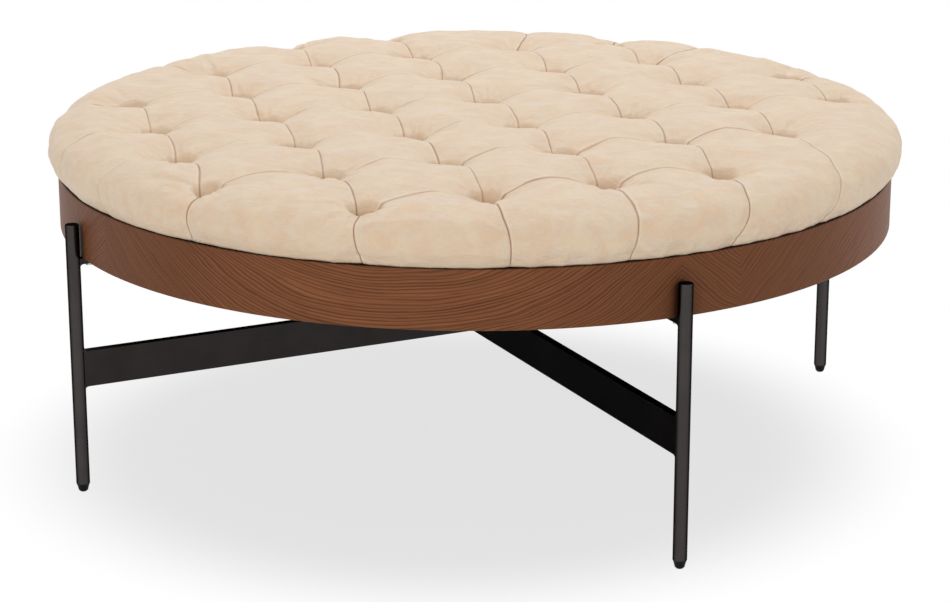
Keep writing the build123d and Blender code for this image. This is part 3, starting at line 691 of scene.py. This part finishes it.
def tuftedSkin(name, spacing, columns, inset, under):
    # inset is how far under the leather's face the skin lies; only the face itself has notches, lips and gathers
    form, deepest = skinForm, tuftShape["depth"]
    along, lineR, lineZ, normalR, normalZ = (line[1:, None] for line in cushionLine(spacing))
    angle = np.linspace(0, 2 * math.pi, columns, endpoint=False)[None, :]
    u, v = along * np.cos(angle), along * np.sin(angle)
    warpU, warpV = (way + form["wander"] * waves(u, v, form["wanderSize"], 6, seed)
                    for way, seed in ((u, 1), (v, 2)))
    total, notch, lip, offset, strength = pressFolds(warpU, warpV, folds)
    depth = np.minimum(np.sqrt(total) + pressTufts(u, v, inset), deepest)
    inward = depth + inset
    edge = np.clip((along - along[-1] + form["edgeStart"]) / form["edgeRun"], 0, 1)
    if inset == 0:
        lump = form["lump"] * waves(u, v, form["lumpSize"], 7, 3) * np.clip(1 - depth / form["lumpDepth"], 0, 1)
        wavyU = form["gatherTurn"] * np.cos(angle) + form["gatherRun"] * along
        wavyV = form["gatherTurn"] * np.sin(angle)
        gather = form["gather"] * edge * waves(wavyU, wavyV, form["gatherSize"], 6, 4)
        notch = np.minimum(notch, np.clip(deepest + form["floorRoom"] - depth, 0, None))
        wrinkles = pressWrinkles(u, v) * np.clip((deepest - depth) / form["floorRun"], 0, 1)
        inward = inward + notch + wrinkles - lip + np.abs(lump) + np.abs(gather)
    else:
        inward = inward + form["fillRoom"] * (1 - edge)
    seated = np.clip((along[-1] - along) / form["seatRun"], 0, 1)
    inward = inward * (form["seatShare"] + (1 - form["seatShare"]) * seated)
    radius, height = lineR - normalR * inward, lineZ - normalZ * inward
    ends = np.array(under)
    radius = np.vstack([radius, np.repeat(ends[:, :1], columns, axis=1)])
    height = np.vstack([height, np.repeat(ends[:, 1:], columns, axis=1)])
    height = np.maximum(height, ends[:, 1].min())
    points = np.stack([radius * np.cos(angle), radius * np.sin(angle), height], axis=2)
    piece = skinMesh(name, points, points[0].mean(axis=0))
    # how deep the face lies in a tuft's hollow, by which the leather's material paints shade there
    hollow = np.clip((depth - form["hollowFrom"]) / form["hollowRun"], 0, 1)
    for label, values, spare in (("creaseOffset", offset, 0.1), ("creaseStrength", strength, 0.0),
                                 ("hollow", hollow, 0.0)):
        full = np.vstack([values, np.full((len(ends), columns), spare)]).ravel()
        setAttribute(piece, label, np.concatenate([full[:1], full]))
    return piece


folds = makeFolds(float(cushionLine(0.01)[0][-1]))
print("folds:", len(folds))


def finishPiece(piece, material, slot, *replaced):
    piece.data.materials.append(material)
    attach(piece, table)
    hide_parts(*replaced)
    print("made", piece.name, len(piece.data.polygons), "faces")


# the leather goes between ring and deck, and its hem turns in under the deck
coverForm = {"spacing": 0.0019, "columns": 1720, "gap": 0.0016, "hem": 0.0136, "shelf": 0.012}
neck, hemZ = deckRadius + coverForm["gap"], coverLow[2]
hemInner = neck - coverForm["hem"]
leatherCover = tuftedSkin("leatherCover", coverForm["spacing"], coverForm["columns"], 0, [
    (neck + coverForm["shelf"], ringTop + 0.0004), (neck, ringTop + 0.0002), (neck, hemZ), (hemInner, hemZ),
    (hemInner, deckLow[2])])
finishPiece(leatherCover, creamLeather, "leather", "leather_cover")

# the fill under the leather, closed below, and the foam slab in it

fibreForm = {"spacing": 0.004, "columns": 900, "inset": 0.0065, "wide": 0.003, "rise": 0.002, "base": 0.0012}
fibreBase = ringTop + fibreForm["base"]
fibreLayer = tuftedSkin("fibreLayer", fibreForm["spacing"], fibreForm["columns"], fibreForm["inset"], [
    (deckRadius + fibreForm["wide"], ringTop + fibreForm["rise"]), (deckRadius, fibreBase), (0.3, fibreBase),
    (0.001, fibreBase)])
finishPiece(fibreLayer, fibreFill, "fibre_fill", "batting")

foamForm = {"drop": 0.036, "edge": 0.016, "well": 0.026, "wellDepth": 0.012, "spacing": 0.008, "columns": 360}


def makeFoam():
    # the crown again, lower down, with a rounded edge and a well under each tuft
    form, columns = foamForm, foamForm["columns"]
    low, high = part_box("foam_pad")
    _, lineR, lineZ, _, _ = cushionLine(form["spacing"])
    flatReach = high[0] - form["edge"]
    inside = lineR < flatReach
    radius, height = lineR[inside][1:, None], lineZ[inside][1:, None] - form["drop"]
    turn = np.linspace(0, math.pi / 2, 9)[1:, None]
    radius = np.vstack([radius, flatReach + form["edge"] * np.sin(turn)])
    height = np.vstack([height, height[-1] - form["edge"] + form["edge"] * np.cos(turn)])
    angle = np.linspace(0, 2 * math.pi, columns, endpoint=False)[None, :]
    x, y = radius * np.cos(angle), radius * np.sin(angle)
    z = np.repeat(height, columns, axis=1)
    for tx, ty in tufts.values():
        away = np.hypot(x - tx, y - ty)
        z = np.where((away < form["well"]) & (radius < flatReach), z - form["wellDepth"], z)
    flat = np.array([[high[0], low[2] + 0.001], [high[0] - 0.002, low[2]], [0.3, low[2]], [0.001, low[2]]])
    radius = np.vstack([np.repeat(radius, columns, axis=1), np.repeat(flat[:, :1], columns, axis=1)])
    z = np.vstack([z, np.repeat(flat[:, 1:], columns, axis=1)])
    points = np.stack([radius * np.cos(angle), radius * np.sin(angle), z], axis=2)
    return skinMesh("foamSlab", points, points[0].mean(axis=0))


foamSlab = makeFoam()
finishPiece(foamSlab, seatFoam, "foam", "foam_pad")

# covered buttons, each with its own small tilt and puckers

buttonForm = {
    "radius": 0.0125, "height": 0.0082, "edge": 0.0022, "rounding": 0.9, "skirt": 0.001, "skirtInset": 0.0008,
    "puckers": 7, "pucker": 0.0003, "tilt": 2.0, "lift": 0.0005, "rings": 10, "columns": 40,
}


def makeButtons():
    form = buttonForm
    rings, count = form["rings"], form["columns"]
    angle = np.linspace(0, 2 * math.pi, count, endpoint=False)
    share = np.linspace(0, 1, rings)[:, None]
    radius = form["radius"] * np.sin(share * math.pi / 2) ** form["rounding"]
    height = form["edge"] + (form["height"] - form["edge"]) * np.cos(share * math.pi / 2)
    ripple = form["pucker"] * share ** 3 * np.cos(form["puckers"] * angle)
    radius, height = radius + 0 * angle, height + ripple
    skirt = np.array([[form["radius"], form["skirt"]], [form["radius"] - form["skirtInset"], 0.0]])
    radius = np.vstack([radius, np.repeat(skirt[:, :1], count, axis=1)])
    height = np.vstack([height, np.repeat(skirt[:, 1:], count, axis=1)])
    shape = np.stack([radius * np.cos(angle), radius * np.sin(angle), height], axis=2)[1:]
    made = []
    ball = crownBall()
    for x, y in tufts.values():
        seat = coverHigh[2] - ball + math.sqrt(ball ** 2 - x * x - y * y) - tuftShape["depth"]
        turn = rng.uniform(0, 2 * math.pi)
        tilt = math.radians(form["tilt"]) * rng.uniform(-1, 1)
        c, s = math.cos(turn), math.sin(turn)
        spin = np.array([[c, -s, 0], [s, c, 0], [tilt, 0, 1]])
        points = shape @ spin.T + (x, y, seat + form["lift"])
        made.append(skinMesh("button", points, (x, y, seat + form["height"] + form["lift"])))
    with bpy.context.temp_override(active_object=made[0], selected_editable_objects=made):
        bpy.ops.object.join()
    made[0].name = "coveredButtons"
    return made[0]


coveredButtons = makeButtons()
finishPiece(coveredButtons, buttonLeather, "leather", "tuft_buttons")

# dust cover, drawn tight under the deck with faint pulls at its staples

clothForm = {"staples": 24, "pull": 0.00018, "thickness": 0.0004, "rings": 40, "columns": 288}
clothRadius = dustHigh[0] - 0.0005


def makeDustCloth():
    form = clothForm
    rings = np.linspace(0.004, clothRadius, form["rings"])[:, None]
    angle = np.linspace(0, 2 * math.pi, form["columns"], endpoint=False)[None, :]
    pull = form["pull"] * np.cos(form["staples"] * (angle - math.pi / form["staples"]))
    drop = pull * np.clip(rings / clothRadius, 0, 1) ** 6
    level = (dustLow[2] + dustHigh[2]) / 2 + drop
    wide = rings + 0 * angle
    points = np.stack([wide * np.cos(angle), wide * np.sin(angle), level], axis=2)
    piece = skinMesh("dustCloth", points, (0, 0, float(level[0].mean())))
    shell = piece.modifiers.new("thickness", "SOLIDIFY")
    shell.thickness = form["thickness"]
    shell.offset = 0
    return piece


underCloth = makeDustCloth()
finishPiece(underCloth, dustCloth, "dust_cloth", "dust_cover")

# finishes of the pieces that keep their built shape

def paint(material, *names):
    for name in names:
        piece = nodes[name]
        piece.data.materials.clear()
        piece.data.materials.append(material)


paint(ringWood, *(f"apron_segment_{n}" for n in range(1, 5)))
paint(beech, "apron_tenons")
paint(blockWood, *(f"rim_cleat_{n}" for n in range(1, 5)), *(f"leg_block_{leg}" for leg in legNames))
paint(plywood, "seat_deck")
paint(bronzeTube, *(f"leg_{leg}" for leg in legNames), *(f"leg_cap_{leg}" for leg in legNames), "weld_beads")
paint(bronzeBar, "stretcher_long", "stretcher_half_front", "stretcher_half_back",
      *(f"seat_tab_{leg}" for leg in legNames))
paint(blackNylon, *(f"{name}_{leg}" for name in ("leg_insert", "glide_foot") for leg in legNames))
paint(zincPlate, "tab_screws", "block_screws", "deck_screws", "hem_staples", "dust_cover_staples",
      *(f"glide_stud_{leg}" for leg in legNames))
paint(waxedTwine, "button_ties")
print("built pieces finished")

# floor, light and camera

studio = {
    "floor": 0.93, "floorSize": 30.0, "shade": 0.8, "shadeEnds": (0.44, 0.7), "shadeMove": (0.057, 0.042, 0.0),
    "seen": 0.92, "world": 0.72, "aim": (0.0, 0.0, 0.4), "warm": (1.0, 0.91, 0.78),
}
lamps = {
    "key": {"place": (0.6, 1.1, 3.0), "power": 33.0, "size": 3.0, "colour": (1.0, 1.0, 1.0)},
    "left": {"place": (-2.6, -2.8, 1.5), "power": 21.0, "size": 0.7, "colour": studio["warm"]},
    "right": {"place": (3.0, -2.2, 1.6), "power": 10.0, "size": 0.7, "colour": studio["warm"]},
}


def seenDirectly(tree):
    # one for what the camera sees, itself or mirrored or through something, and zero for light on the object
    path = addNode(tree, "LightPath").outputs
    mirrored = maths(tree, "MAXIMUM", path["Is Glossy Ray"], path["Is Transmission Ray"])
    return maths(tree, "MAXIMUM", path["Is Camera Ray"], mirrored)


def makeFloor():
    # white to the eye, with a soft shade under the table and the real shadow on top of it
    mesh = bpy.data.meshes.new("floor")
    size = studio["floorSize"]
    mesh.from_pydata([(-size, -size, 0), (size, -size, 0), (size, size, 0), (-size, size, 0)], [], [(0, 1, 2, 3)])
    floor = bpy.data.objects.new("floor", mesh)
    bpy.context.scene.collection.objects.link(floor)
    made, tree, shader = newMaterial("paleFloor", Roughness=0.6, Specular_IOR_Level=0.2)
    shader.inputs["Base Color"].default_value = rgb(*[studio["floor"]] * 3)
    place = addNode(tree, "TexCoord").outputs["Object"]
    moved = addNode(tree, "VectorMath", {0: place, 1: studio["shadeMove"]}).outputs[0]
    away = addNode(tree, "VectorMath", {0: moved}, operation="LENGTH").outputs["Value"]
    pale = ramp(tree, away, *studio["shadeEnds"])
    level = maths(tree, "MULTIPLY_ADD", pale, 1.0 - studio["shade"], studio["shade"])
    glow = addNode(tree, "Emission", {"Color": rgb(1, 1, 1), "Strength": level})
    plain = maths(tree, "MULTIPLY_ADD", pale, 1.0 - studio["seen"], studio["seen"])
    share = maths(tree, "MULTIPLY", seenDirectly(tree), plain)
    blend = addNode(tree, "MixShader", {0: share, 1: shader.outputs[0], 2: glow.outputs[0]})
    out = tree.nodes["Material Output"]
    tree.links.new(blend.outputs[0], out.inputs[0])
    mesh.materials.append(made)


def makeWorld():
    world = bpy.data.worlds.new("studio")
    bpy.context.scene.world = world
    world.use_nodes = True
    tree = world.node_tree
    tree.nodes.clear()
    light = maths(tree, "MULTIPLY_ADD", seenDirectly(tree), 1.0 - studio["world"], studio["world"])
    sky = addNode(tree, "Background", {"Color": rgb(1, 1, 1), "Strength": light})
    out = tree.nodes.new("ShaderNodeOutputWorld")
    tree.links.new(sky.outputs[0], out.inputs[0])


def makeLamp(name, look):
    data = bpy.data.lights.new(name, "AREA")
    data.energy, data.size, data.color = look["power"], look["size"], look["colour"]
    lamp = bpy.data.objects.new(name, data)
    bpy.context.scene.collection.objects.link(lamp)
    direction = np.array(studio["aim"]) - look["place"]
    flat = math.hypot(direction[0], direction[1])
    lamp.location = look["place"]
    lamp.rotation_euler = (math.atan2(flat, -direction[2]), 0, math.atan2(-direction[0], direction[1]))


cameraPlace = {"place": (-1.6515, -3.4014, 1.3380), "pitch": 73.19, "turn": -25.9, "lens": 102.09, "sensor": 36.0}


def makeCamera():
    data = bpy.data.cameras.new("camera")
    data.lens, data.sensor_width = cameraPlace["lens"], cameraPlace["sensor"]
    camera = bpy.data.objects.new("camera", data)
    bpy.context.scene.collection.objects.link(camera)
    camera.location = cameraPlace["place"]
    camera.rotation_euler = (math.radians(cameraPlace["pitch"]), 0, math.radians(cameraPlace["turn"]))
    bpy.context.scene.camera = camera


makeFloor()
makeWorld()
for name, look in lamps.items():
    makeLamp(name, look)
makeCamera()
bpy.context.scene.view_settings.view_transform = "Standard"

print("scene ready")
